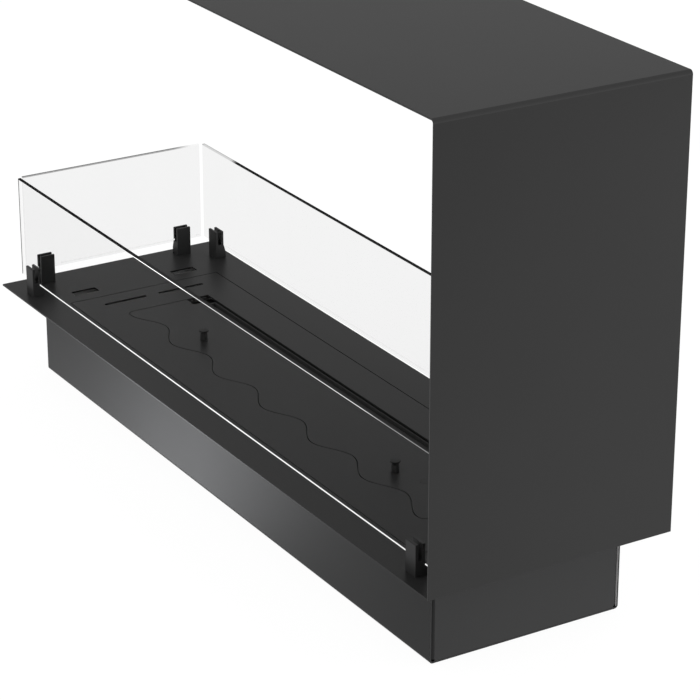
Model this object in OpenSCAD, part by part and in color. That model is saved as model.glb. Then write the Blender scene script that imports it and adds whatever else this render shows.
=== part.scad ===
// Three-sided bioethanol fireplace insert: a flanged base plate with a lower
// housing, an end panel and top plate folded from one sheet, three glass panes
// in clips, and a drop-in burner whose flush, wave-fronted shutter slides over
// the fire slot. Origin at the middle of the housing's underside, x along the
// base plate towards the end panel, y towards the back, z up.

/* [Casing] */
// Length of the base plate and of the top plate
plate_len = 1000; // [700:10:1600]
// Depth of the base plate, front to back
plate_w = 300; // [250:2:400]
// Height of the end panel, from the underside of the base plate to its top
surround_h = 500; // [300:10:800]
// Thickness of the casing sheet
sheet_t = 2; // [1.5:0.1:3]
// Outside radius of the fold between end panel and top plate
surround_fold_r = 4.5; // [3.5:0.5:9]

/* [Lower housing] */
// Depth of the housing below the base plate
housing_h = 101; // [90:1:160]
// Rim of the base plate beyond the housing at the open end
rim_left = 58.4; // [50:0.1:80]
// Rim of the base plate beyond the housing at the end panel
rim_right = 44.2; // [35:0.1:70]
// Rim of the base plate beyond the housing at front and back
rim_side = 31.4; // [28:0.1:38]
// Outside radius of the housing's folds
housing_fold_r = 4; // [3.5:0.5:7]
// Width of the folded flanges on the end caps
cap_flange = 14; // [10:1:24]

/* [Burner cover] */
// Distance from the housing's end to the edge of the cover
cover_end_margin = 45.6; // [42:0.1:60]
// Distance from the housing's side to the edge of the cover
cover_side_margin = 15.8; // [15.8:0.1:20]
// How far the burner sits off the housing's middle line, towards the back
burner_y = -1.4; // [-1.4:0.1:1.4]
// Width of the seam round the cover and along the shutter's wave
seam = 1.1; // [0.8:0.1:1.6]
// Width of the ledge that the cover rests on
ledge_w = 10; // [8:1:12]
// Running clearance between parts that slide on or lift off each other
run_gap = 0.3; // [0.2:0.05:0.4]

/* [Shutter] */
// Length of one wave of the shutter's front edge
wave_pitch = 110; // [90:5:130]
// Height of the wave to each side of its middle line
wave_amp = 10.3; // [4:0.1:14]
// Radius of the shutter's front corners
shutter_corner_r = 9; // [5:0.5:12]
// Distance from the cover's front edge to the middle line of the wave
wave_front_margin = 56.1; // [48:0.1:60]
// Width of the fire slot behind the open shutter
slot_w = 17.4; // [15:0.1:22]
// Distance from the slot's rear edge to the cover's rear edge
slot_rear_margin = 46; // [40:0.5:52]
// Length of the lighting notch in each rear corner of the shutter
notch_len = 19; // [12:1:26]
// Depth of the lighting notches
notch_w = 13.5; // [8:0.5:16]
// Part of the slot that stays as a gap when the shutter is shut
shut_gap = 0.4; // [0.3:0.1:1]
// Least distance from the wave's end to the cover's end
wave_end_min = 70; // [70:1:90]

/* [Knobs] */
// Distance of the left knob from the shutter's left end
knob_inset_left = 127.5; // [60:0.5:140]
// Distance of the right knob from the shutter's right end
knob_inset_right = 115; // [100:0.5:140]
// Height of a knob above the shutter
knob_h = 13.5; // [9:0.5:20]
// Diameter of a knob's stem
knob_stem_d = 9; // [7:0.5:10]
// Diameter of a knob's cap
knob_cap_d = 12; // [11:0.5:18]
// Thickness of a knob's cap
knob_cap_t = 1.5; // [1:0.1:2.5]
// Diameter of the screws in knobs and clips
screw_d = 4; // [3:0.5:4.5]
// Diameter of the bushes that run in the bed's slots
bush_d = 8; // [7:0.5:9]
// Diameter of the washers below the bed
washer_d = 15; // [13:0.5:18]
// Thickness of the washers
washer_t = 1; // [0.8:0.1:1.5]
// Distance of the stop pin from the shutter's right end
stop_inset = 77.5; // [70:0.5:90]
// Diameter of the stop pin's flush head
stop_head_d = 9; // [7:0.5:10]
// Diameter of the stop pin's shank
stop_pin_d = 5; // [3:0.5:6]

/* [Air slots] */
// Length of the short slots in the base plate
short_slot_len = 33; // [20:1:40]
// Width of the short slots
short_slot_w = 14; // [10:0.5:16]
// Corner radius of the short slots
short_slot_r = 2; // [1:0.5:4]
// Distance from the cover's end to the middle of a short slot
short_slot_out = 27; // [24:0.5:30]
// Distance from the line of the cover's side to the middle of a short slot
short_slot_side = 32.8; // [32:0.1:50]
// Width of the long slots in the cover
long_slot_w = 5.5; // [4:0.1:6]
// Distance from the cover's end to the long slots in it
long_slot_in = 26; // [18:0.5:27]
// Distance from the cover's side to the end of a long slot
long_slot_side = 33.3; // [20:0.1:45]
// Length of the bridge between the two long slots
long_slot_bridge = 17; // [10:1:30]
// Place of that bridge off the burner's middle line
long_slot_bridge_y = -2.4; // [-6:0.1:6]

/* [Burner tank] */
// Thickness of the tank's and bed's stainless sheet
tank_sheet_t = 1.5; // [1:0.1:2]
// Drop from the cover's top to the tank's deck
deck_drop = 12.5; // [11.5:0.5:20]
// Distance of the tank's end beyond the shutter's end
tank_end_out = 13.5; // [13:0.5:16]
// Gap between the tank's front wall and the ledge in front of it
tank_front_gap = 20; // [8:1:30]
// Gap between the tank's rear wall and the ledge behind it
tank_rear_gap = 5; // [3:1:20]
// Room between the spill tray's floor and the tank
tank_clear = 11.5; // [8:0.5:16]
// Room for fuel between the ceramic blocks and the tank's deck
fuel_room = 34.5; // [24:0.5:44]
// Gap between the ceramic blocks and round them
ceramic_gap = 0.8; // [0.4:0.1:2]
// Number of ceramic blocks in the tank
ceramic_count = 3; // [3:1:3]
// Height of the spill tray's walls
tray_h = 16; // [10:1:22]
// Distance of the spill tray beyond the tank, all round
tray_out = 12; // [8:1:18]

/* [Glass] */
// Thickness of a pane
glass_t = 4; // [3:0.5:6]
// Height of a pane
glass_h = 127; // [80:1:200]
// Distance from the edge of the base plate to the middle of a pane
glass_inset = 19.7; // [16:0.1:22]
// Gap between the left pane's inner face and the ends of the side panes
glass_end_gap = 1; // [0.5:0.1:4]
// Gap between the left pane's ends and the side panes
glass_corner_gap = 3.3; // [2:0.1:10]
// Gap between the side panes and the end panel
glass_panel_gap = 6; // [2:0.5:14]
// Chamfer on a pane's edges
glass_arris = 0.4; // [0.2:0.1:0.8]

/* [Glass clips] */
// Length of a clip along its pane
clip_len = 19; // [14:1:30]
// Height of a clip
clip_h = 36.5; // [30:0.5:60]
// Height of a clip's solid foot below its slot
clip_foot_h = 17.8; // [14:0.1:24]
// Width of the shoulder on one side of a clip's foot
clip_shoulder = 3; // [1:0.5:5]
// Height of that shoulder below its slope
clip_shoulder_h = 8; // [4:0.5:12]
// Thickness of a clip's prongs
clip_prong_t = 3.4; // [3:0.1:5]
// Clearance between a pane and a prong
clip_play = 0.35; // [0.2:0.05:0.6]
// Chamfer along the tops of the prongs
clip_chamfer = 0.5; // [0.2:0.1:1]
// Thickness of the pad in a clip's slot
pad_t = 0.5; // [0.3:0.1:1]
// Distance from the corner of the base plate to the middle of a clip
clip_corner = 52.5; // [45:0.5:90]
// Distance from the end panel to the middle of the right-hand clips
clip_panel = 55; // [45:0.5:90]
// Depth to which a clip's screw enters its foot
clip_screw_in = 12; // [8:0.5:13]

/* [Hidden] */
$fn = 48;

// Colours of the finishes
casing_black = [0.045, 0.045, 0.047];
housing_grey = [0.06, 0.06, 0.063];
clip_black = [0.02, 0.02, 0.021];
stainless = [0.55, 0.55, 0.56];
ceramic_white = [0.86, 0.84, 0.8];
glass_tint = [0.9, 0.95, 0.95, 0.3];
rubber_black = [0.03, 0.03, 0.03];
brass_yellow = [0.72, 0.56, 0.28];

// Overrun of every cut past the face that it leaves
over = 1;
// Slack between a screw and the bore that it is fixed in
screw_slack = 0.05;

// Casing
plate_half = plate_len / 2;
plate_top = housing_h + sheet_t;
housing_x0 = rim_left - plate_half;
housing_x1 = plate_half - rim_right;
housing_len = housing_x1 - housing_x0;
housing_w = plate_w - rim_side * 2;
angle_leg = 16;

// Burner, measured from its own middle
burner_x = (housing_x0 + housing_x1) / 2;
cover_half = housing_len / 2 - cover_end_margin;
cover_w = housing_w - cover_side_margin * 2;
wave_count = floor((cover_half - wave_end_min) * 2 / wave_pitch);
wave_half = wave_pitch * wave_count / 2;
shutter_half = wave_half + shutter_corner_r;
slot_rear = cover_w / 2 - slot_rear_margin;
shutter_rear = slot_rear - slot_w;
wave_y = wave_front_margin - cover_w / 2;
shutter_depth = shutter_rear - wave_y;
shutter_travel = slot_w - shut_gap;
wave_steps = 20;
corner_steps = 10;

// Shutter bed and what runs in it
bed_top = plate_top - sheet_t - run_gap;
bed_bottom = bed_top - tank_sheet_t;
bed_end_out = 13;
bed_end_strip = 10;
bed_front_out = 15;
bed_front_strip = 11;
bed_rear_in = 1.6;
// How far in front of the shutter's rear edge these sit, as shares of its depth
knob_rear_share = 0.674;
stop_rear_share = 0.517;
knob_y = shutter_rear - shutter_depth * knob_rear_share;
knob_left_x = knob_inset_left - shutter_half;
knob_right_x = shutter_half - knob_inset_right;
stop_x = shutter_half - stop_inset;
stop_y = shutter_rear - shutter_depth * stop_rear_share;
stop_head_t = sheet_t * 0.6;
stop_reach = 4;
knob_bore_h = knob_h * 0.6;
knob_waist = 0.5;
screw_head_d = screw_d * 1.9;
screw_head_h = screw_d * 0.6;

// Tank, its deck and mouth, and its hangers
tank_half = shutter_half + tank_end_out;
tank_front = ledge_w + tank_front_gap - cover_w / 2;
tank_rear = cover_w / 2 - ledge_w - tank_rear_gap;
tray_floor = sheet_t + tank_sheet_t;
tank_bottom = tray_floor + tank_clear;
deck_top = plate_top - deck_drop;
tank_top = deck_top - tank_sheet_t;
ceramic_h = tank_top - tank_bottom - tank_sheet_t - fuel_room;
mouth_half = shutter_half - notch_len - sheet_t;
mouth_inset = 2.7;
mouth_rim_drop = 0.5;
hanger_flange = 18;
hanger_h = 46;
hanger_w = 90;
hanger_y = (tank_front + tank_rear) / 2;
rivet_d = 3.2;
rivet_head_d = 6.5;
rivet_head_t = 1.1;
rivet_drop = 12;
rivet_pitch = 60;

// Glass and clips
clip_w = glass_t + (clip_play + clip_prong_t) * 2;
glass_z = plate_top + clip_foot_h + pad_t + run_gap / 2;
side_pane_y = plate_w / 2 - glass_inset;
end_pane_x = glass_inset - plate_half;
side_pane_x0 = end_pane_x + glass_t / 2 + glass_end_gap;
side_pane_x1 = plate_half - sheet_t - glass_panel_gap;
end_pane_half = side_pane_y - glass_t / 2 - glass_corner_gap;
clip_left_x = clip_corner - plate_half;
clip_right_x = plate_half - clip_panel;
clip_side_y = plate_w / 2 - clip_corner;
// Middle of each clip and the turn of its slot, in the order of the nodes
clip_places = [[clip_left_x, -side_pane_y, 0], [clip_right_x, -side_pane_y, 0],
    [clip_left_x, side_pane_y, 0], [clip_right_x, side_pane_y, 0],
    [end_pane_x, -clip_side_y, 90], [end_pane_x, clip_side_y, 90]];
countersink_d = screw_d * 1.8;
countersink_h = sheet_t * 0.8;

// Front edge of the shutter at x, before the seam is added
function wave_at(x) = wave_y - wave_amp * cos(360 * (x + wave_half) / wave_pitch);
// Slope of that edge
function wave_slope(x) = wave_amp * PI * 2 / wave_pitch * sin(360 * (x + wave_half) / wave_pitch);
// Point at x on the wave, moved out square to the edge by gap
function wave_point(x, gap) = let (s = wave_slope(x), n = sqrt(1 + s * s))
    [x + gap * s / n, wave_at(x) - gap / n];
// Rounded front corner on one side, from the end's face to the wave's end
function corner_points(side, gap) = [for (i = [0:corner_steps])
    let (a = 90 * i / corner_steps, r = shutter_corner_r + gap)
    [side * (wave_half + r * cos(a)), wave_y - wave_amp + shutter_corner_r - r * sin(a)]];
// Outline of the shutter, grown by gap at its front and ends, up to the line rear
function shutter_outline(gap, rear) = concat(
    [[-shutter_half - gap, rear]],
    corner_points(-1, gap),
    [for (i = [1:wave_steps * wave_count - 1])
        wave_point(wave_pitch * i / wave_steps - wave_half, gap)],
    [for (i = [corner_steps:-1:0]) corner_points(1, gap)[i]],
    [[shutter_half + gap, rear]]);

// Quarter of a folded corner, in the first quadrant
module fold(outer_r, t) {
    intersection() {
        difference() {
            circle(outer_r);
            circle(outer_r - t);
        }
        square(outer_r);
    }
}

// Slot with round ends, along y
module round_slot(len, w) {
    square([w, len - w], center = true);
    for (s = [-1, 1]) translate([0, s * (len - w) / 2]) circle(d = w);
}

// Mirrors the shapes in its plane to the side s
module to_side(s) {
    mirror([s < 0 ? 1 : 0, 0]) children();
}

// Mirrors the solids in it to the end s
module to_end(s) {
    mirror([s < 0 ? 1 : 0, 0, 0]) children();
}

// Places its children at the burner's middle
module at_burner() {
    translate([burner_x, burner_y, 0]) children();
}

// Short air slots in the base plate, one by each corner of the cover
module short_slots() {
    r = short_slot_r;
    for (sx = [-1, 1], sy = [-1, 1])
        translate([sx * (cover_half + short_slot_out), sy * (cover_w / 2 - short_slot_side)]) {
            square([short_slot_w - r * 2, short_slot_len], center = true);
            square([short_slot_w, short_slot_len - r * 2], center = true);
            for (kx = [-1, 1], ky = [-1, 1])
                translate([kx * (short_slot_w / 2 - r), ky * (short_slot_len / 2 - r)]) circle(r);
        }
}

module base_plate() {
    color(casing_black)
    difference() {
        translate([-plate_half, -plate_w / 2, housing_h]) cube([plate_len - sheet_t, plate_w, sheet_t]);
        at_burner() translate([0, 0, housing_h - over]) linear_extrude(sheet_t + over * 2) {
            square([cover_half + seam, cover_w / 2 + seam] * 2, center = true);
            short_slots();
        }
        for (c = clip_places) translate([c[0], c[1], housing_h]) countersink(screw_slack);
    }
}

// Countersunk bore or screw body through the base plate, grown by slack
module countersink(slack) {
    cylinder(d1 = countersink_d + slack * 2, d2 = screw_d + slack * 2, h = countersink_h);
    cylinder(d = screw_d + slack * 2, h = sheet_t + over);
}

module surround() {
    color(casing_black)
    translate([0, 0, housing_h]) rotate([90, 0, 0]) linear_extrude(plate_w, center = true) {
        translate([plate_half - sheet_t, 0]) square([sheet_t, surround_h - surround_fold_r]);
        translate([-plate_half, surround_h - sheet_t]) square([plate_len - surround_fold_r, sheet_t]);
        translate([plate_half - surround_fold_r, surround_h - surround_fold_r]) fold(surround_fold_r, sheet_t);
    }
}

// Angle inside the corner between base plate and end panel
module corner_angle() {
    angle_len = plate_w - rim_side * 2;
    color(casing_black)
    translate([plate_half - sheet_t, 0, plate_top])
        rotate([90, 0, 0]) linear_extrude(angle_len, center = true) {
        translate([-sheet_t, housing_fold_r]) square([sheet_t, angle_leg - housing_fold_r]);
        translate([-angle_leg, 0]) square([angle_leg - housing_fold_r, sheet_t]);
        translate([-housing_fold_r, housing_fold_r]) rotate(-90) fold(housing_fold_r, sheet_t);
    }
}

// Section of the housing: floor, two walls and the lips that carry the cover
module housing_section() {
    floor_w = housing_w - housing_fold_r * 2;
    translate([-floor_w / 2, 0]) square([floor_w, sheet_t]);
    for (s = [-1, 1]) to_side(s) {
        lip_w = housing_w / 2 - housing_fold_r - (cover_w / 2 - ledge_w + s * burner_y);
        translate([floor_w / 2, housing_fold_r]) rotate(-90) fold(housing_fold_r, sheet_t);
        translate([housing_w / 2 - sheet_t, housing_fold_r]) square([sheet_t, housing_h - housing_fold_r * 2]);
        translate([floor_w / 2, housing_h - housing_fold_r]) fold(housing_fold_r, sheet_t);
        translate([floor_w / 2 - lip_w, housing_h - sheet_t]) square([lip_w, sheet_t]);
    }
}

// Room under the cover, which keeps it clear of the ledges
module cover_relief() {
    at_burner() translate([0, 0, housing_h - run_gap])
        linear_extrude(run_gap + over) square([cover_half + seam, cover_w / 2 + seam] * 2, center = true);
}

module housing_channel() {
    color(housing_grey)
    difference() {
        translate([housing_x0, 0, 0]) rotate([90, 0, 90]) linear_extrude(housing_len) housing_section();
        cover_relief();
    }
}

// End cap, with flanges folded inwards along the walls and a tab up to the plate
module housing_end(x, s) {
    cap_half = housing_w / 2 - sheet_t;
    tab_half = cover_w / 2 - ledge_w - abs(burner_y);
    color(housing_grey)
    translate([x, 0, 0]) to_end(-s) {
        translate([0, housing_fold_r - cap_half, sheet_t])
            cube([sheet_t, (cap_half - housing_fold_r) * 2, housing_h - sheet_t * 2]);
        translate([0, 0, housing_fold_r]) linear_extrude(housing_h - housing_fold_r * 2)
            for (m = [-1, 1]) mirror([0, m < 0 ? 1 : 0]) {
                translate([housing_fold_r, cap_half - housing_fold_r]) rotate(90) fold(housing_fold_r, sheet_t);
                translate([housing_fold_r, cap_half - sheet_t]) square([cap_flange - housing_fold_r, sheet_t]);
            }
        translate([0, -tab_half, housing_h - sheet_t]) cube([sheet_t, tab_half * 2, sheet_t]);
    }
}

// Cross member under the cover's end, between the housing's lips
module cross_ledge(s) {
    bar_w = ledge_w * 2 + seam;
    bar_half = cover_w / 2 - ledge_w;
    color(housing_grey)
    difference() {
        at_burner() translate([s * (cover_half + seam / 2) - bar_w / 2, -bar_half, housing_h - sheet_t])
            cube([bar_w, bar_half * 2, sheet_t]);
        cover_relief();
    }
}

module spill_tray() {
    tray_half = tank_half + tray_out;
    tray_front = tank_front - tray_out;
    tray_rear = tank_rear + tray_out / 2;
    inner = [tray_half - tank_sheet_t, tray_rear - tray_front - tank_sheet_t * 2];
    color(stainless)
    at_burner() translate([0, 0, sheet_t]) difference() {
        translate([-tray_half, tray_front, 0]) cube([tray_half * 2, tray_rear - tray_front, tray_h]);
        translate([-inner[0], tray_front + tank_sheet_t, tank_sheet_t]) cube([inner[0] * 2, inner[1], tray_h]);
    }
}

// Section of a clip across its pane, standing on the base plate, its shoulder towards +x
module clip_section() {
    difference() {
        union() {
            translate([-clip_w / 2, 0]) square([clip_w, clip_h]);
            polygon([[0, 0], [clip_w / 2 + clip_shoulder, 0], [clip_w / 2 + clip_shoulder, clip_shoulder_h],
                [clip_w / 2, clip_foot_h], [0, clip_foot_h]]);
        }
        translate([-clip_w / 2 + clip_prong_t, clip_foot_h]) square([clip_w - clip_prong_t * 2, clip_h]);
        for (s = [-1, 1], k = [0, 1]) translate([s * (clip_w / 2 - k * clip_prong_t), clip_h])
            circle(r = clip_chamfer, $fn = 4);
    }
}

module glass_clip(place) {
    color(clip_black)
    translate([place[0], place[1], plate_top]) rotate(place[2]) difference() {
        rotate([90, 0, 90]) linear_extrude(clip_len, center = true) clip_section();
        translate([0, 0, -over]) cylinder(d = screw_d + screw_slack * 2, h = clip_screw_in + over);
    }
}

module clip_screws() {
    color(stainless)
    for (c = clip_places) translate([c[0], c[1], housing_h]) difference() {
        union() {
            cylinder(d1 = countersink_d, d2 = screw_d, h = countersink_h);
            cylinder(d = screw_d, h = sheet_t + clip_screw_in - screw_slack * 2);
        }
        translate([0, 0, -over]) cylinder(d = screw_d * 0.6, h = countersink_h * 0.7 + over, $fn = 6);
    }
}

module clip_pads() {
    color(rubber_black)
    for (c = clip_places) translate([c[0], c[1], plate_top + clip_foot_h]) rotate(c[2])
        translate([-clip_len / 2, -glass_t / 2, 0]) cube([clip_len, glass_t, pad_t]);
}

// Pane of the given length along x, its bottom edge on z = 0 and its edges chamfered
module pane(len) {
    color(glass_tint)
    rotate([90, 0, 90]) linear_extrude(len, center = true) difference() {
        translate([-glass_t / 2, 0]) square([glass_t, glass_h]);
        for (s = [-1, 1], z = [0, glass_h]) translate([s * glass_t / 2, z]) circle(r = glass_arris, $fn = 4);
    }
}

module side_pane(s) {
    translate([(side_pane_x0 + side_pane_x1) / 2, s * side_pane_y, glass_z]) pane(side_pane_x1 - side_pane_x0);
}

module glass_left() {
    translate([end_pane_x, 0, glass_z]) rotate(90) pane(end_pane_half * 2);
}

// Long air slots at both ends of the cover, with a bridge in the middle
module long_slots() {
    half = cover_w / 2 - long_slot_side;
    for (s = [-1, 1], k = [-1, 1]) {
        inner = long_slot_bridge_y * k + long_slot_bridge / 2;
        len = half - inner;
        translate([s * (cover_half - long_slot_in), k * (half + inner) / 2]) round_slot(len, long_slot_w);
    }
}

module burner_cover() {
    color(casing_black)
    at_burner() translate([0, 0, housing_h]) linear_extrude(sheet_t) difference() {
        square([cover_half, cover_w / 2] * 2, center = true);
        polygon(shutter_outline(seam, slot_rear));
        long_slots();
    }
}

// Both rear corners that light is let through, grown by gap
module notches(gap) {
    for (s = [-1, 1]) to_side(s)
        translate([shutter_half - notch_len - gap, shutter_rear - notch_w - gap])
            square([notch_len + gap + over, notch_w + gap + over]);
}

module shutter_plate() {
    color(casing_black)
    at_burner() difference() {
        translate([0, 0, housing_h]) linear_extrude(sheet_t) difference() {
            polygon(shutter_outline(0, shutter_rear));
            notches(0);
        }
        for (x = [knob_left_x, knob_right_x]) translate([x, knob_y, housing_h - over])
            cylinder(d = screw_d + screw_slack * 2, h = sheet_t + over * 2);
        translate([stop_x, stop_y, housing_h - over])
            cylinder(d = stop_pin_d + screw_slack * 2, h = sheet_t + over * 2);
        translate([stop_x, stop_y, plate_top - stop_head_t])
            cylinder(d = stop_head_d + run_gap * 2, h = sheet_t);
    }
}

// Slot in the bed for something of width w that moves with the shutter
module travel_slot(x, y, w) {
    slot = w + run_gap * 2;
    translate([x, y + shutter_travel / 2]) round_slot(shutter_travel + slot, slot);
}

// Bed that the shutter slides on, raised to the cover along its front and ends
module shutter_bed() {
    bed_half = shutter_half + bed_end_out;
    bed_front = wave_y - wave_amp - bed_front_out;
    bed_rear = shutter_rear - bed_rear_in;
    color(stainless)
    at_burner() difference() {
        union() {
            translate([-bed_half, bed_front, bed_bottom])
                cube([bed_half * 2, bed_rear - bed_front, tank_sheet_t]);
            translate([-bed_half, bed_front, bed_top]) cube([bed_half * 2, bed_front_strip, run_gap]);
            for (s = [-1, 1]) to_end(s) translate([bed_half - bed_end_strip, bed_front, bed_top])
                cube([bed_end_strip, bed_rear - bed_front, run_gap]);
        }
        translate([0, 0, bed_bottom - over]) linear_extrude(tank_sheet_t + run_gap + over * 2) {
            intersection() {
                notches(bed_rear_in);
                square([shutter_half, cover_w] * 2, center = true);
            }
            for (x = [knob_left_x, knob_right_x]) travel_slot(x, knob_y, bush_d);
            travel_slot(stop_x, stop_y, stop_pin_d);
        }
    }
}

module burner_tank() {
    width = tank_rear - tank_front;
    color(stainless)
    at_burner() difference() {
        translate([-tank_half, tank_front, tank_bottom]) cube([tank_half * 2, width, tank_top - tank_bottom]);
        translate([tank_sheet_t - tank_half, tank_front + tank_sheet_t, tank_bottom + tank_sheet_t])
            cube([(tank_half - tank_sheet_t) * 2, width - tank_sheet_t * 2, tank_top]);
        for (s = [-1, 1], k = [-1, 1]) rivet_bore(s, k);
    }
}

// Deck over the tank, with the collar that lines the fire slot
module tank_deck() {
    mouth_front = shutter_rear + mouth_inset;
    mouth_rear = slot_rear - mouth_inset;
    rim_top = plate_top - sheet_t - mouth_rim_drop;
    color(stainless)
    at_burner() difference() {
        union() {
            translate([-tank_half, tank_front, tank_top])
                cube([tank_half * 2, tank_rear - tank_front, tank_sheet_t]);
            translate([-mouth_half, mouth_front - tank_sheet_t, tank_top])
                cube([mouth_half * 2, mouth_rear - mouth_front + tank_sheet_t * 2, rim_top - tank_top]);
        }
        translate([tank_sheet_t - mouth_half, mouth_front, tank_top - over])
            cube([(mouth_half - tank_sheet_t) * 2, mouth_rear - mouth_front, rim_top - tank_top + over * 2]);
    }
}

// Bore for the rivet k at the tank's end s
module rivet_bore(s, k) {
    translate([s * tank_half, hanger_y + k * rivet_pitch / 2, tank_top - rivet_drop])
        rotate([0, 90, 0])
            cylinder(d = rivet_d + screw_slack * 2, h = (tank_sheet_t + over) * 2, center = true);
}

// Bracket that hangs the tank's end from the cover
module tank_hanger(s) {
    hanger_top = housing_h;
    fold_r = tank_sheet_t * 2;
    color(stainless)
    at_burner() difference() {
        to_end(s) translate([tank_half, hanger_y, 0])
            rotate([90, 0, 0]) linear_extrude(hanger_w, center = true) {
            translate([0, hanger_top - hanger_h]) square([tank_sheet_t, hanger_h - fold_r]);
            translate([fold_r, hanger_top - tank_sheet_t]) square([hanger_flange - fold_r, tank_sheet_t]);
            translate([fold_r, hanger_top - fold_r]) rotate(90) fold(fold_r, tank_sheet_t);
        }
        for (k = [-1, 1]) rivet_bore(s, k);
    }
}

module tank_rivets() {
    color(stainless)
    at_burner() for (s = [-1, 1], k = [-1, 1]) to_end(s)
        translate([tank_half, hanger_y + k * rivet_pitch / 2, tank_top - rivet_drop]) rotate([0, 90, 0]) {
            translate([0, 0, -tank_sheet_t]) cylinder(d = rivet_d, h = tank_sheet_t * 2);
            translate([0, 0, tank_sheet_t]) cylinder(d = rivet_head_d, h = rivet_head_t);
            translate([0, 0, -tank_sheet_t - rivet_head_t]) cylinder(d = rivet_head_d, h = rivet_head_t);
        }
}

// Ceramic block number i, from the left
module ceramic_block(i) {
    room = (tank_half - tank_sheet_t) * 2 - ceramic_gap;
    block_len = room / ceramic_count - ceramic_gap;
    block_w = tank_rear - tank_front - (tank_sheet_t + ceramic_gap) * 2;
    color(ceramic_white)
    at_burner() translate([ceramic_gap - room / 2 - ceramic_gap / 2 + i * (block_len + ceramic_gap),
            tank_front + tank_sheet_t + ceramic_gap, tank_bottom + tank_sheet_t])
        cube([block_len, block_w, ceramic_h]);
}

// Turned knob: stem with a waist under a thin cap, bored from below
module shutter_knob(x) {
    stem_r = knob_stem_d / 2;
    cap_r = knob_cap_d / 2;
    cap_z = knob_h - knob_cap_t;
    edge = knob_cap_t / 4;
    color(clip_black)
    at_burner() translate([x, knob_y, plate_top]) difference() {
        rotate_extrude() polygon([[0, 0], [stem_r, 0], [stem_r, cap_z * 0.55],
            [stem_r - knob_waist, cap_z * 0.7], [stem_r - knob_waist, cap_z * 0.85], [stem_r, cap_z],
            [cap_r - edge, cap_z], [cap_r, cap_z + edge], [cap_r, knob_h - edge],
            [cap_r - edge, knob_h], [0, knob_h]]);
        translate([0, 0, -over]) cylinder(d = screw_d + screw_slack * 2, h = knob_bore_h + over);
    }
}

// Height of the washers' top, below the bed
function washer_top() = bed_bottom - run_gap;

module knob_screws() {
    color(stainless)
    at_burner() for (x = [knob_left_x, knob_right_x]) translate([x, knob_y, 0]) difference() {
        union() {
            translate([0, 0, washer_top() - washer_t - screw_head_h])
                cylinder(d = screw_head_d, h = screw_head_h);
            translate([0, 0, washer_top() - washer_t])
                cylinder(d = screw_d, h = plate_top + knob_bore_h - screw_slack * 2 - washer_top() + washer_t);
        }
        translate([0, 0, washer_top() - washer_t - screw_head_h - over])
            cylinder(d = screw_d * 0.7, h = screw_head_h * 0.6 + over, $fn = 6);
    }
}

// Ring round each knob screw
module screw_rings(outer_d, z, h) {
    at_burner() for (x = [knob_left_x, knob_right_x]) translate([x, knob_y, z]) difference() {
        cylinder(d = outer_d, h = h);
        translate([0, 0, -over]) cylinder(d = screw_d + screw_slack * 2, h = h + over * 2);
    }
}

module knob_washers() {
    color(stainless) screw_rings(washer_d, washer_top() - washer_t, washer_t);
}

module slide_bushes() {
    color(brass_yellow) screw_rings(bush_d, washer_top(), housing_h - washer_top());
}

module stop_pin() {
    color(casing_black)
    at_burner() translate([stop_x, stop_y, 0]) {
        translate([0, 0, plate_top - stop_head_t]) cylinder(d = stop_head_d, h = stop_head_t);
        translate([0, 0, bed_bottom - stop_reach])
            cylinder(d = stop_pin_d, h = plate_top - stop_head_t - bed_bottom + stop_reach);
    }
}

base_plate();
surround();
corner_angle();
housing_channel();
housing_end(housing_x0, -1);  // housing_end_left
housing_end(housing_x1, 1);  // housing_end_right
cross_ledge(-1);  // cross_ledge_left
cross_ledge(1);  // cross_ledge_right
spill_tray();
glass_clip(clip_places[0]);  // glass_clip_front_left
glass_clip(clip_places[1]);  // glass_clip_front_right
glass_clip(clip_places[2]);  // glass_clip_back_left
glass_clip(clip_places[3]);  // glass_clip_back_right
glass_clip(clip_places[4]);  // glass_clip_left_front
glass_clip(clip_places[5]);  // glass_clip_left_back
clip_screws();
clip_pads();
side_pane(-1);  // glass_front
side_pane(1);  // glass_back
glass_left();
burner_cover();
shutter_bed();
burner_tank();
tank_deck();
tank_hanger(-1);  // tank_hanger_left
tank_hanger(1);  // tank_hanger_right
tank_rivets();
ceramic_block(0);  // ceramic_block_left
ceramic_block(1);  // ceramic_block_middle
ceramic_block(2);  // ceramic_block_right
shutter_plate();
shutter_knob(knob_left_x);  // shutter_knob_left
shutter_knob(knob_right_x);  // shutter_knob_right
knob_screws();
knob_washers();
slide_bushes();
stop_pin();
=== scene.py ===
"""Looks of a three-sided bioethanol fireplace insert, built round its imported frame."""

import sys
import logging
import math
from collections.abc import Callable
from dataclasses import dataclass, field
from enum import Enum, IntEnum

import bmesh
import bpy
from bmesh.types import BMesh, BMFace
from bpy.types import Material, Object
from mathutils import Matrix, Vector, noise


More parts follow.
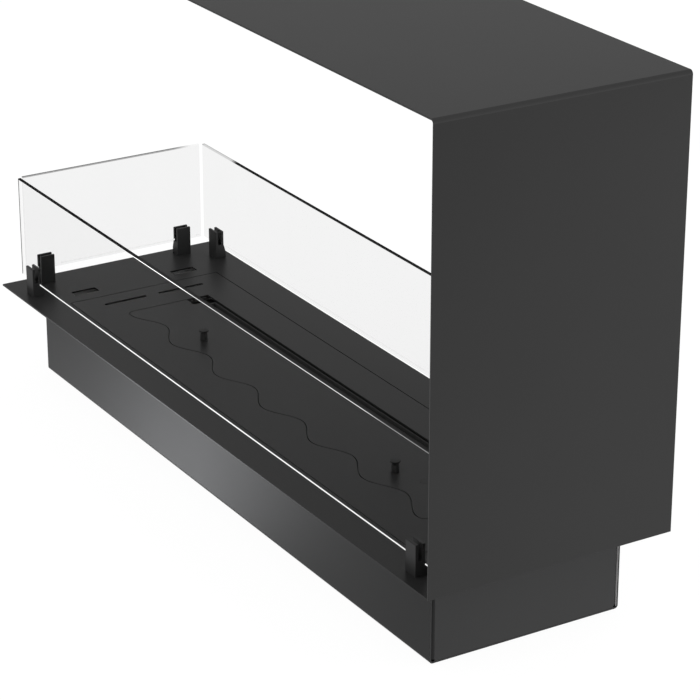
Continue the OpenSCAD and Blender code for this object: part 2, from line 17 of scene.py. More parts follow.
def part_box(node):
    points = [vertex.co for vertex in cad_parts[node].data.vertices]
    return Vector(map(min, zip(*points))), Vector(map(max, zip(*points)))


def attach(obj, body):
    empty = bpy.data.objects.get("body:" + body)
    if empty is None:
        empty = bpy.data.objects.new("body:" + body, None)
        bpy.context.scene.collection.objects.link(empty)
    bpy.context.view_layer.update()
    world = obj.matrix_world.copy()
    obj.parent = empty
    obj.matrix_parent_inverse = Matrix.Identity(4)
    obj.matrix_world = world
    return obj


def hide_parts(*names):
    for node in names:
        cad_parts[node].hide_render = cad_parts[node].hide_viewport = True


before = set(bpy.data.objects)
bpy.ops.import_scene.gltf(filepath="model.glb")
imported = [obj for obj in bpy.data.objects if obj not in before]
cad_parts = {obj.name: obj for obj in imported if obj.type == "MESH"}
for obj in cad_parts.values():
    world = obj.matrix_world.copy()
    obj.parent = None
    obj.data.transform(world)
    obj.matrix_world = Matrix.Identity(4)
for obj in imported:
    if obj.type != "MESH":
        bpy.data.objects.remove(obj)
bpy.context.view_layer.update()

Triple = tuple[float, float, float]
Profile = list[tuple[float, float]]  # points of radius and height

log = logging.getLogger("fireplace_insert")

MM = 0.001
SAME_POINT = 0.002 * MM  # corners of a frame part that are nearer than this are one
ON_PLANE = 0.001 * MM  # nearer than this, a corner lies on the plane of a cut or on an axis
FLAT_ANGLE = 0.3  # degrees under which neighbouring faces are one plain face
SHARP_ANGLE = 35.0  # degrees over which an edge is sharp
BEVEL_STEPS = 2
FLAT_WIDTH = 2.5 * MM  # a face with four corners that is wider than this is no fold or bore
SOCKET_DEPTH = 1.1 * MM
SOCKET_TIP = 1.3 * MM
SCREW_TIP = 0.5 * MM
SOFT_GRAIN, CLOUDY_GRAIN, TANGLED_GRAIN = 1.0, 3.0, 5.0  # octaves of finer grain
MIX_FACTOR, MIX_LOW, MIX_HIGH, MIX_RESULT = 0, 6, 7, 2  # sockets of a Mix node for colours


# ---------------------------------------------------------------- shader maths


class Value:
    """An output socket that reads as a number in Python expressions."""

    def __init__(self, graph: "Graph", socket: bpy.types.NodeSocket) -> None:
        """Keeps the socket and the graph that new nodes go into.

        Args:
            graph: Node graph that owns the socket.
            socket: Output socket to calculate with.
        """
        self.graph = graph
        self.socket = socket

    def _calc(self, operation: str, *terms: "Value | float") -> "Value":
        """Adds one Math node.

        Args:
            operation: The node's operation.
            terms: Its inputs, in order.

        Returns:
            The node's result.
        """
        return self.graph.node("ShaderNodeMath", {"operation": operation}, dict(enumerate(terms)))

    def __add__(self, other: "Value | float") -> "Value":
        """Sum of both."""
        return self._calc("ADD", self, other)

    def __radd__(self, other: "Value | float") -> "Value":
        """Sum of both."""
        return self._calc("ADD", other, self)

    def __sub__(self, other: "Value | float") -> "Value":
        """This less the other."""
        return self._calc("SUBTRACT", self, other)

    def __rsub__(self, other: "Value | float") -> "Value":
        """The other less this."""
        return self._calc("SUBTRACT", other, self)

    def __mul__(self, other: "Value | float") -> "Value":
        """Product of both."""
        return self._calc("MULTIPLY", self, other)

    def smooth(self, low: float, high: float) -> "Value":
        """Soft step of the value.

        Args:
            low: Value at which the step starts from 0.
            high: Value at which it reaches 1.

        Returns:
            The step, from 0 to 1.
        """
        return self.graph.node(
            "ShaderNodeMapRange",
            {"interpolation_type": "SMOOTHSTEP"},
            {"Value": self, "From Min": low, "From Max": high},
        )


Term = Value | float | tuple[float, ...]


class Graph:
    """Node graph of one material, built around a Principled shader."""

    def __init__(self, name: str) -> None:
        """Starts an empty material.

        Args:
            name: Name of the material.
        """
        self.material = bpy.data.materials.new(name)
        self.material.use_nodes = True
        self.tree = self.material.node_tree
        self.tree.nodes.clear()

    def node(
        self,
        kind: str,
        settings: dict[str, object] | None = None,
        inputs: dict[str | int, Term] | None = None,
        output: str | int = 0,
    ) -> Value:
        """Adds a node of any kind.

        Args:
            kind: Blender's type name of the node.
            settings: Properties of the node, set before its sockets.
            inputs: Values or links of its input sockets, by name or place.
            output: Name or place of the output that is wanted.

        Returns:
            The chosen output.
        """
        made = self.tree.nodes.new(kind)
        for key, value in (settings or {}).items():
            setattr(made, key, value)
        for key, term in (inputs or {}).items():
            if isinstance(term, Value):
                self.tree.links.new(term.socket, made.inputs[key])
            else:
                made.inputs[key].default_value = term
        return Value(self, made.outputs[output])

    def place(self) -> Value:
        """Coordinates of the piece in metres, in the shared frame."""
        return self.node("ShaderNodeTexCoord", output="Object")

    def axis(self, name: str) -> Value:
        """One coordinate, X, Y or Z, in metres."""
        return self.node("ShaderNodeSeparateXYZ", inputs={0: self.place()}, output=name)

    def grain(self, scale: float, detail: float = 2.0, stretch: Triple = (1, 1, 1)) -> Value:
        """Noise on the piece's own coordinates.

        Args:
            scale: Grains per metre.
            detail: Octaves of finer grain.
            stretch: Scale along each axis, below 1 to draw the grain out.

        Returns:
            Noise from 0 to 1.
        """
        at = self.place()
        if stretch != (1, 1, 1):
            at = self.node("ShaderNodeMapping", inputs={"Vector": at, "Scale": stretch})
        return self.node("ShaderNodeTexNoise", inputs={"Vector": at, "Scale": scale, "Detail": detail})

    def tint(self, factor: Value, low: tuple[float, ...], high: tuple[float, ...]) -> Value:
        """Blend of two colours.

        Args:
            factor: Share of the second colour.
            low: First colour.
            high: Second colour.

        Returns:
            The blended colour.
        """
        inputs = {MIX_FACTOR: factor, MIX_LOW: low, MIX_HIGH: high}
        return self.node("ShaderNodeMix", {"data_type": "RGBA"}, inputs, MIX_RESULT)

    def bump(self, height: Value, depth: float, strength: float = 1.0) -> Value:
        """Normal of a fine relief.

        Args:
            height: Relief from 0 to 1.
            depth: Height of the relief in metres.
            strength: Share of the relief that shows.

        Returns:
            The bumped normal.
        """
        return self.node("ShaderNodeBump", inputs={"Strength": strength, "Distance": depth, "Height": height})

    def finish(self, **sockets: Term) -> Material:
        """Closes the graph with a Principled shader.

        Args:
            sockets: Values of its sockets, with _ for a blank in a name.

        Returns:
            The finished material.
        """
        inputs = {name.replace("_", " "): term for name, term in sockets.items()}
        shader = self.node("ShaderNodeBsdfPrincipled", inputs=inputs)
        out = self.tree.nodes.new("ShaderNodeOutputMaterial")
        self.tree.links.new(shader.socket, out.inputs["Surface"])
        return self.material


def grey(level: float, warmth: float = 0.0) -> tuple[float, float, float, float]:
    """Linear grey, a little warmer or cooler.

    Args:
        level: Brightness of the grey.
        warmth: Share by which red is raised and blue lowered.

    Returns:
        Colour with full alpha.
    """
    return (level * (1 + warmth), level, level * (1 - warmth), 1.0)


# --------------------------------------------------------------------- finishes


class Brushing(Enum):
    """Direction in which a steel sheet was brushed, as the stretch of its marks."""

    ALONG_X = (0.02, 1.0, 1.0)
    ALONG_Y = (1.0, 0.02, 1.0)


class Finish:
    """A surface finish, whose material is made once and shared."""

    name: str

    def graph(self) -> Material:
        """Builds the material."""
        raise NotImplementedError

    def material(self) -> Material:
        """Material of the finish, made at its first use."""
        return bpy.data.materials.get(self.name) or self.graph()


@dataclass(frozen=True)
class PowderCoat(Finish):
    """Matt powder coat with a fine orange peel."""

    name: str
    level: float
    specular: float
    roughness: float
    warmth: float = 0.0
    peel_per_m: float = 900.0
    peel_depth: float = 0.012 * MM
    cloud_per_m: float = 9.0
    speck_per_m: float = 2600.0
    speck_share: float = 0.2
    spread: float = 0.07
    gloss_play: float = 0.03

    def graph(self) -> Material:
        """Builds the coat from cloudy colour, patchy gloss and peel.

        Returns:
            The material.
        """
        g = Graph(self.name)
        cloud = g.grain(self.cloud_per_m, detail=CLOUDY_GRAIN)
        speck = g.grain(self.speck_per_m, detail=SOFT_GRAIN)
        peel = g.grain(self.peel_per_m)
        low, high = (grey(self.level * (1 + change), self.warmth) for change in (-self.spread, self.spread))
        return g.finish(
            Base_Color=g.tint(cloud * (1 - self.speck_share) + speck * self.speck_share, low, high),
            Roughness=self.roughness - self.gloss_play + cloud * self.gloss_play + speck * self.gloss_play,
            Specular_IOR_Level=self.specular,
            Normal=g.bump(peel, self.peel_depth),
        )


@dataclass(frozen=True)
class BrushedSteel(Finish):
    """Stainless sheet with drawn-out brush marks."""

    name: str
    level: float
    roughness: float
    brushing: Brushing
    warmth: float = 0.01
    metallic: float = 1.0
    specular: float = 0.1
    marks_per_m: float = 2200.0
    marks_share: float = 0.7
    marks_depth: float = 0.006 * MM
    marks_gloss: float = 0.14
    cloud_per_m: float = 14.0
    cloud_gloss: float = 0.04
    darkest: float = 0.86
    palest: float = 1.1

    def graph(self) -> Material:
        """Builds the steel from brush marks in colour, gloss and relief.

        Returns:
            The material.
        """
        g = Graph(self.name)
        marks = g.grain(self.marks_per_m, CLOUDY_GRAIN, self.brushing.value)
        cloud = g.grain(self.cloud_per_m, detail=CLOUDY_GRAIN)
        low, high = (grey(self.level * share, self.warmth) for share in (self.darkest, self.palest))
        return g.finish(
            Base_Color=g.tint(marks * self.marks_share + cloud * (1 - self.marks_share), low, high),
            Metallic=self.metallic,
            Specular_IOR_Level=self.specular,
            Roughness=self.roughness - self.marks_gloss / 2 + marks * self.marks_gloss + cloud * self.cloud_gloss,
            Normal=g.bump(marks, self.marks_depth),
        )


@dataclass(frozen=True)
class TurnedMetal(Finish):
    """Metal with the fine rings of a lathe tool across its axis."""

    name: str
    colour: tuple[float, float, float, float]
    roughness: float
    rings_per_m: float = 2200.0
    rings_sway: float = 1.5
    rings_depth: float = 0.004 * MM
    rings_gloss: float = 0.05
    stain_per_m: float = 220.0
    stain_level: float = 0.8
    stain_gloss: float = 0.1

    def graph(self) -> Material:
        """Builds the metal from tool rings and faint stains.

        Returns:
            The material.
        """
        g = Graph(self.name)
        rings = g.node(
            "ShaderNodeTexWave",
            {"wave_type": "BANDS", "bands_direction": "Z"},
            {"Vector": g.place(), "Scale": self.rings_per_m, "Distortion": self.rings_sway},
            "Fac",
        )
        stain = g.grain(self.stain_per_m, detail=CLOUDY_GRAIN)
        dull = tuple(c * self.stain_level for c in self.colour[:3]) + (1.0,)
        return g.finish(
            Base_Color=g.tint(stain, dull, self.colour),
            Metallic=1.0,
            Roughness=self.roughness + stain * self.stain_gloss + rings * self.rings_gloss,
            Normal=g.bump(rings, self.rings_depth),
        )


@dataclass(frozen=True)
class CeramicFibre(Finish):
    """Pressed ceramic fibre, off-white and matted."""

    name: str
    strands_per_m: float = 700.0
    strands_stretch: Triple = (1.0, 0.35, 1.0)
    strands_share: float = 0.5
    felt_per_m: float = 260.0
    felt_share: float = 0.3
    felt_gloss: float = 0.08
    pits_per_m: float = 420.0
    pits_share: float = 0.2
    pit_colour: tuple[float, ...] = grey(0.62, 0.05)
    skin_colour: tuple[float, ...] = grey(0.86, 0.03)
    relief_depth: float = 0.4 * MM
    relief_shows: float = 0.8
    roughness: float = 0.9
    specular: float = 0.2

    def graph(self) -> Material:
        """Builds the fibre from tangled strands, felt and small pits.

        Returns:
            The material.
        """
        g = Graph(self.name)
        strands = g.grain(self.strands_per_m, TANGLED_GRAIN, self.strands_stretch)
        felt = g.grain(self.felt_per_m, detail=TANGLED_GRAIN)
        pits = g.node("ShaderNodeTexVoronoi", inputs={"Vector": g.place(), "Scale": self.pits_per_m})
        relief = strands * self.strands_share + felt * self.felt_share + pits * self.pits_share
        return g.finish(
            Base_Color=g.tint(relief, self.pit_colour, self.skin_colour),
            Roughness=self.roughness + felt * self.felt_gloss,
            Specular_IOR_Level=self.specular,
            Normal=g.bump(relief, self.relief_depth, self.relief_shows),
        )


@dataclass(frozen=True)
class Rubber(Finish):
    """Soft black pad rubber with a dusty bloom."""

    name: str
    bloom_per_m: float = 180.0
    bloom_gloss: float = 0.1
    bare_level: float = 0.012
    bloom_level: float = 0.028
    pores_per_m: float = 5200.0
    pores_depth: float = 0.01 * MM
    roughness: float = 0.82
    specular: float = 0.25

    def graph(self) -> Material:
        """Builds the rubber from bloom and fine pores.

        Returns:
            The material.
        """
        g = Graph(self.name)
        bloom = g.grain(self.bloom_per_m, detail=CLOUDY_GRAIN)
        pores = g.grain(self.pores_per_m, detail=SOFT_GRAIN)
        return g.finish(
            Base_Color=g.tint(bloom, grey(self.bare_level), grey(self.bloom_level)),
            Roughness=self.roughness + bloom * self.bloom_gloss,
            Specular_IOR_Level=self.specular,
            Normal=g.bump(pores, self.pores_depth),
        )


@dataclass(frozen=True)
class ClearPane(Finish):
    """Body of a clear pane, whose faint tint takes a little of what is behind; with a stronger cover it also serves
    as painted shade at a pane's end.
    """

    name: str
    cover: float
    streaks_per_m: float = 30.0
    streaks_stretch: Triple = (1.0, 1.0, 0.25)
    streaks_cover: float = 0.1
    streaks_gloss: float = 0.04
    deep_level: float = 0.018
    pale_level: float = 0.026
    roughness: float = 0.06

    def graph(self) -> Material:
        """Builds the pane from its tint, with faint streaks of wiping.

        Returns:
            The material.
        """
        g = Graph(self.name)
        streaks = g.grain(self.streaks_per_m, stretch=self.streaks_stretch)
        return g.finish(
            Base_Color=g.tint(streaks, grey(self.deep_level), grey(self.pale_level)),
            Roughness=self.roughness + streaks * self.streaks_gloss,
            Specular_IOR_Level=0.0,
            Alpha=self.cover * (1 - self.streaks_cover / 2) + streaks * (self.cover * self.streaks_cover),
        )


@dataclass(frozen=True)
class Clearing:
    """Stretch along an axis over which the painted shade on a pane's edge gives up a share of its cover."""

    axis: str
    start: float
    end: float
    share: float


@dataclass(frozen=True)
class PaintedShadeEdge(Finish):
    """Top edge of a pane with painted shade in place of the dark plate seen through it from outside."""

    name: str
    deep: float
    pale: float
    cover: float
    clearing: Clearing | None
    pale_over: tuple[float, float] = (-0.165, -0.145)
    ripple_per_m: float = 400.0
    ripple_cover: float = 0.03
    ripple_gloss: float = 0.1
    roughness: float = 0.2

    def graph(self) -> Material:
        """Builds the painted shade of the edge, paler along X and clearing along an axis where it says so.

        Returns:
            The material.
        """
        g = Graph(self.name)
        ripple = g.grain(self.ripple_per_m)
        # the painted shade grows paler along X
        paler = g.axis("X").smooth(*self.pale_over)
        cover = self.cover - self.ripple_cover + ripple * self.ripple_cover
        if self.clearing is not None:
            clear = g.axis(self.clearing.axis).smooth(self.clearing.start, self.clearing.end)
            cover = cover * (1 - clear * self.clearing.share)
        return g.finish(
            Base_Color=g.tint(paler, grey(self.deep), grey(self.pale)),
            Roughness=self.roughness + ripple * self.ripple_gloss,
            Specular_IOR_Level=0.0,
            Alpha=cover,
        )


@dataclass(frozen=True)
class PaintedGlowStrip(Finish):
    """Strip beside a pane's edge with a painted glow, which stands in for the bright line along the edge.

    The upper strip's painted light is raised over a stretch of X, lowered by a little painted shade after it, and
    faded near the end panel. A share set for the pane says how much of these changes shows.
    """

    name: str
    glow: float
    painted_zones: float
    upper_over: tuple[float, float] = (0.19, 0.2)
    lit_over: tuple[float, float] = (-0.18, -0.155)
    lit_gain: float = 0.8
    shaded_over: tuple[float, float] = (-0.06, 0.0)
    shaded_loss: float = 0.2
    faded_over: tuple[float, float] = (0.335, 0.395)
    faded_loss: float = 0.62
    ripple_per_m: float = 300.0
    ripple_stretch: Triple = (0.2, 0.2, 1.0)
    ripple_light: float = 0.03
    ripple_gloss: float = 0.1
    deep_level: float = 0.1
    pale_level: float = 0.14
    plain_light: float = 0.52
    full_light: float = 0.55
    roughness: float = 0.25
    specular: float = 0.1

    def graph(self) -> Material:
        """Builds the strip from its painted glow, which changes along X.

        Returns:
            The material.
        """
        g = Graph(self.name)
        ripple = g.grain(self.ripple_per_m, stretch=self.ripple_stretch)
        # painted light along X on the upper strip: raised, then lowered by painted shade, then faded near the end
        # panel
        upper = g.axis("Z").smooth(*self.upper_over)
        faded = g.axis("X").smooth(*self.faded_over)
        shaded = g.axis("X").smooth(*self.shaded_over)
        lit = g.axis("X").smooth(*self.lit_over) * (1 - shaded)
        change = lit * self.lit_gain - shaded * self.shaded_loss - faded * self.faded_loss
        light = (self.plain_light + ripple * self.ripple_light) * (1 + upper * change * self.painted_zones)
        return g.finish(
            Base_Color=g.tint(ripple, grey(self.deep_level), grey(self.pale_level)),
            Roughness=self.roughness + ripple * self.ripple_gloss,
            Specular_IOR_Level=self.specular,
            Emission_Color=g.tint(light, grey(0.0), grey(1.0)),
            Emission_Strength=self.glow / self.full_light,
        )


@dataclass(frozen=True)
class StudioFloor(Finish):
    """Pale lit studio floor without a seam."""

    name: str
    level: float
    glow: float
    roughness: float = 0.9

    def graph(self) -> Material:
        """Builds the floor from a pale matt base and its own light.

        Returns:
            The material.
        """
        return Graph(self.name).finish(
            Base_Color=grey(self.level),
            Roughness=self.roughness,
            Specular_IOR_Level=0.0,
            Emission_Color=grey(1.0),
            Emission_Strength=self.glow,
        )


CASING_COAT = PowderCoat("casing_powder_coat", 0.0228, 0.0335, 0.36)
EDGE_COAT = PowderCoat("casing_edge_coat", 0.012, 0.072, 0.24)
# the fold's coat is lighter than the casing coat: a painted highlight
FOLD_PAINTED_HIGHLIGHT = PowderCoat("casing_fold_painted_highlight", 0.036, 0.034, 0.36)
# the panel's cut edges get a lighter and a little glossier coat: a painted highlight with some real gloss
PANEL_EDGE_PAINTED_HIGHLIGHT = PowderCoat("panel_edge_painted_highlight", 0.033, 0.06, 0.3)
HOUSING_COAT = PowderCoat("housing_powder_coat", 0.0178, 0.05, 0.24, -0.01)
HOUSING_PRIMER = PowderCoat("housing_grey_primer", 0.62, 0.1, 0.6)
CLIP_COAT = PowderCoat("clip_satin_black", 0.024, 0.055, 0.4, peel_per_m=1500.0)
KNOB_COAT = PowderCoat("knob_satin_black", 0.02, 0.024, 0.4, peel_per_m=1800.0)
STEM_BLACK = PowderCoat("stem_black_oxide", 0.022, 0.06, 0.35, peel_per_m=1800.0)
TANK_STEEL = BrushedSteel("tank_brushed_steel", 0.5, 0.34, Brushing.ALONG_X)
CROSS_STEEL = BrushedSteel("hanger_brushed_steel", 0.52, 0.33, Brushing.ALONG_Y)
MOUTH_STEEL = BrushedSteel("mouth_blackened_steel", 0.042, 0.55, Brushing.ALONG_X, metallic=0.15)
SCREW_STEEL = TurnedMetal("screw_steel", (0.56, 0.56, 0.57, 1.0), 0.26)
BUSH_BRASS = TurnedMetal("bush_brass", (0.72, 0.53, 0.26, 1.0), 0.24)
PAD_RUBBER = Rubber("pad_rubber")
FIBRE = CeramicFibre("ceramic_fibre")
FLOOR_WHITE = StudioFloor("studio_floor_white", 0.08, 0.95)


# ---------------------------------------------------------------------- shaping


def new_object(name: str, bm: BMesh, sharp_over: float = SHARP_ANGLE) -> Object:
    """Turns a bmesh into an object at the origin, with soft shading up to an angle.

    Args:
        name: Name of the object.
        bm: Finished bmesh, which is freed.
        sharp_over: Angle in degrees above which an edge stays sharp.

    Returns:
        The new object.
    """
    mesh = bpy.data.meshes.new(name)
    bm.to_mesh(mesh)
    bm.free()
    mesh.shade_smooth()
    mesh.set_sharp_from_angle(angle=math.radians(sharp_over))
    obj = bpy.data.objects.new(name, mesh)
    bpy.context.scene.collection.objects.link(obj)
    return obj


def merged_copy(node: str) -> BMesh:
    """Copy of a frame part's mesh with its loose triangles joined into plain faces.

    Args:
        node: Name of the part.

    Returns:
        The joined bmesh.
    """
    bm = bmesh.new()
    bm.from_mesh(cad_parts[node].data)
    bmesh.ops.remove_doubles(bm, verts=bm.verts, dist=SAME_POINT)
    bmesh.ops.dissolve_limit(bm, angle_limit=math.radians(FLAT_ANGLE), verts=bm.verts, edges=bm.edges)
    return bm


def level_flats(obj: Object) -> None:
    """Shades the flats of a piece flat, and leaves its folds and bores smooth.

    Args:
        obj: Piece with plain faces.
    """
    mesh = obj.data
    for face in mesh.polygons:
        points = [mesh.vertices[i].co for i in face.vertices]
        longest = max((a - b).length for a, b in zip(points, points[1:] + points[:1]))
        face.use_smooth = len(points) <= 4 and face.area / longest < FLAT_WIDTH


def soften(obj: Object, width: float) -> None:
    """Rounds the sharp edges of a piece.

    Args:
        obj: Piece to soften.
        width: Width of the rounding in metres.
    """
    bevel = obj.modifiers.new("rounded_edges", "BEVEL")
    bevel.width = width
    bevel.segments = BEVEL_STEPS
    bevel.limit_method = "ANGLE"
    bevel.angle_limit = math.radians(SHARP_ANGLE)
    bevel.harden_normals = True


def cut_along(bm: BMesh, at: Vector, normal: Vector) -> None:
    """Cuts every face along a plane.

    Args:
        bm: Shape to cut.
        at: Point of the plane.
        normal: Its normal.
    """
    geom = bm.verts[:] + bm.edges[:] + bm.faces[:]
    bmesh.ops.bisect_plane(bm, geom=geom, dist=ON_PLANE, plane_co=at, plane_no=normal)


def socket(radius: float) -> Profile:
    """Profile of the drilled socket in a screw's head, from its tip to its rim."""
    return [(0.0, SOCKET_TIP), (radius, SOCKET_DEPTH), (radius, 0.0)]


def shank(radius: float, start: float, end: float) -> Profile:
    """Profile of a screw's shank with its chamfered end.

    Args:
        radius: Radius of the shank in metres.
        start: Height at which it leaves the head.
        end: Height of its end.

    Returns:
        Points of radius and height.
    """
    return [(radius, start), (radius, end - SCREW_TIP), (radius - SCREW_TIP, end), (0.0, end)]


def lathe(profile: Profile, steps: int) -> BMesh:
    """Spins a profile once round the Z axis.

    Args:
        profile: Points of radius and height in metres, from pole to pole.
        steps: Facets round the axis.

    Returns:
        The closed shape, with its faces outwards.
    """
    bm = bmesh.new()
    verts = [bm.verts.new((r, 0.0, z)) for r, z in profile]
    edges = [bm.edges.new(pair) for pair in zip(verts, verts[1:])]
    bmesh.ops.spin(
        bm, geom=verts + edges, cent=(0, 0, 0), axis=(0, 0, 1), dvec=(0, 0, 0),
        angle=math.tau, steps=steps, use_merge=True, use_duplicate=False,
    )
    bmesh.ops.remove_doubles(bm, verts=bm.verts, dist=ON_PLANE)
    bmesh.ops.recalc_face_normals(bm, faces=bm.faces)
    return bm


def scattered(unit: BMesh, places: list[Matrix]) -> BMesh:
    """Copies of one shape at several places, as one bmesh.

    Args:
        unit: Shape at the origin, which is freed.
        places: Transform of each copy.

    Returns:
        All the copies.
    """
    mesh = bpy.data.meshes.new("unit")
    unit.to_mesh(mesh)
    unit.free()
    bm = bmesh.new()
    for place in places:
        before = len(bm.verts)
        bm.from_mesh(mesh)
        bm.verts.ensure_lookup_table()
        bmesh.ops.transform(bm, matrix=place, verts=bm.verts[before:])
    bpy.data.meshes.remove(mesh)
    bmesh.ops.recalc_face_normals(bm, faces=bm.faces)
    return bm


def block(low: Vector, high: Vector) -> BMesh:
    """Plain block between two corners.

    Args:
        low: Lowest corner.
        high: Highest corner.

    Returns:
        The block.
    """
    bm = bmesh.new()
    bmesh.ops.create_cube(bm, size=1.0)
    size = high - low
    bmesh.ops.scale(bm, vec=size, verts=bm.verts)
    bmesh.ops.translate(bm, vec=(low + high) / 2, verts=bm.verts)
    return bm


@dataclass
class Assembly:
    """Shared ways to dress the pieces of a sub-assembly and have them stand in for their frame parts."""

    body: str

    def hand_in(self, obj: Object, slot: str, nodes: list[str], *finishes: Finish) -> Object:
        """Dresses a piece, lets it ride and has it replace its frame parts.

        Args:
            obj: Finished piece.
            slot: Not used.
            nodes: Frame parts that the piece stands for.
            finishes: Finishes in the order of the piece's material slots.

        Returns:
            The same piece.
        """
        for finish in finishes:
            obj.data.materials.append(finish.material())
        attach(obj, self.body)
        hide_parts(*nodes)
        log.info("%s: %d faces, replaces %s", obj.name, len(obj.data.polygons), ", ".join(nodes))
        return obj

    def sheet(
        self, node: str, name: str, slot: str, finish: Finish, width: float, *others: Finish,
        where: Callable[[BMFace], int] | None = None,
    ) -> Object:
        """Makes a piece in the shape of a frame part, with rounded edges.

        Args:
            node: Frame part that gives the shape.
            name: Name of the piece.
            slot: Not used.
            finish: Finish of the piece.
            width: Rounding of its edges in metres.
            others: Finishes of some of its faces.
            where: Gives each face 0 for the first finish, or the place of another one.

        Returns:
            The piece.
        """
        bm = merged_copy(node)
        if where:
            for face in bm.faces:
                face.material_index = where(face)
        obj = new_object(name, bm)
        level_flats(obj)
        soften(obj, width)
        return self.hand_in(obj, slot, [node], finish, *others)


# ------------------------------------------------------------------ assemblies


@dataclass
class Casing(Assembly):
    """Base plate, end panel with top plate, and the angle in their corner."""

    body: str = "casing"
    edge: float = 0.3 * MM
    level_under: float = 0.1  # a cut edge of the plate rises less than this
    square_over: float = 0.9  # a cut edge of the panel faces front or back by more than this
    fold_over: float = 0.02  # the fold rises more than this
    fold_under: float = 0.97  # and less than this

    def build(self) -> None:
        """Makes the coated sheets of the casing."""
        self.sheet("base_plate", "plate_coated", "casing", CASING_COAT, self.edge, EDGE_COAT, where=self.plate_part)
        self.sheet(
            "surround", "surround_coated", "casing", CASING_COAT, self.edge, PANEL_EDGE_PAINTED_HIGHLIGHT, FOLD_PAINTED_HIGHLIGHT,
            where=self.surround_part,
        )
        self.sheet("corner_angle", "angle_coated", "casing", CASING_COAT, self.edge)

    def plate_part(self, face: BMFace) -> int:
        """Gives 1 for a cut edge of the plate, else 0."""
        return int(abs(face.normal.z) < self.level_under)

    def surround_part(self, face: BMFace) -> int:
        """Tells the cut edges and the fold from the rest of the surround.

        Args:
            face: Face of the surround.

        Returns:
            1 for a cut edge at front or back, which gets a painted highlight, 2 for the outside of the fold, which
            gets a painted highlight, else 0.
        """
        if abs(face.normal.y) > self.square_over:
            return 1
        return 2 if self.fold_over < face.normal.z < self.fold_under and face.normal.x > 0 else 0


@dataclass
class Housing(Assembly):
    """Sheet housing below the plate, with its ledges and the spill tray."""

    body: str = "casing"
    edge: float = 0.3 * MM
    upright_under: float = 0.5  # a wall's normal rises less than this
    parts: dict[str, str] = field(default_factory=lambda: {
        "housing_channel": "channel_coated",
        "housing_end_left": "end_cap_left_coated",
        "housing_end_right": "end_cap_right_coated",
        "cross_ledge_left": "ledge_left_coated",
        "cross_ledge_right": "ledge_right_coated",
    })

    def build(self) -> None:
        """Makes the coated housing and the steel tray in it."""
        for node, name in self.parts.items():
            self.sheet(node, name, "housing", HOUSING_COAT, self.edge, HOUSING_PRIMER, where=self.side_of)
        self.sheet("spill_tray", "tray_steel", "stainless", TANK_STEEL, self.edge)

    def side_of(self, face: BMFace) -> int:
        """Tells the primed inside of the walls from the coated outside.

        Args:
            face: Face of a housing part.

        Returns:
            1 for a wall face that looks towards the middle of the housing, else 0.
        """
        low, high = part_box("housing_channel")
        inwards = face.normal.dot((low + high) / 2 - face.calc_center_median()) > 0
        return int(inwards and abs(face.normal.z) < self.upright_under)


@dataclass
class GlassClips(Assembly):
    """Forked clips that hold the panes, with their screws and pads."""

    body: str = "casing"
    edge: float = 0.35 * MM
    pad_edge: float = 0.1 * MM
    places: tuple[str, ...] = ("front_left", "front_right", "back_left", "back_right", "left_front", "left_back")
    screw_r: float = 2.0 * MM
    head_r: float = 3.6 * MM
    head_h: float = 1.6 * MM
    head_chamfer: float = 0.15 * MM
    head_rim: float = 0.12 * MM
    facets: int = 48
    screw_in: float = 12.0 * MM
    socket_r: float = 1.25 * MM
    play: float = 0.1 * MM
    plate_under: float = 101.0 * MM
    plate_t: float = 2.0 * MM

    def build(self) -> None:
        """Makes the clips, the screws from below and the pads in the forks."""
        for place in self.places:
            self.sheet(f"glass_clip_{place}", f"clip_{place}", "clip", CLIP_COAT, self.edge)
        self.hand_in(new_object("clip_screws_turned", self.screws()), "fastener", ["clip_screws"], SCREW_STEEL)
        self.sheet("clip_pads", "clip_pads_rubber", "pad", PAD_RUBBER, self.pad_edge)

    def screws(self) -> BMesh:
        """Countersunk screws with a socket, one under each clip.

        Returns:
            All the screws.
        """
        top = self.plate_t + self.screw_in - self.play
        head = [(self.head_r - self.head_chamfer, 0.0), (self.head_r, self.head_rim)]
        unit = lathe([*socket(self.socket_r), *head, *shank(self.screw_r, self.head_h, top)], self.facets)
        spots = []
        for place in self.places:
            low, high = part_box(f"glass_clip_{place}")
            middle = (low + high) / 2
            spots.append(Matrix.Translation((middle.x, middle.y, self.plate_under)))
        return scattered(unit, spots)


class PanePart(IntEnum):
    """Part of a pane, which is also the material slot of its faces."""

    CLEAR = 0
    PAINTED_SHADE = 1
    PAINTED_GLOW = 2
    PAINTED_END_SHADE = 3


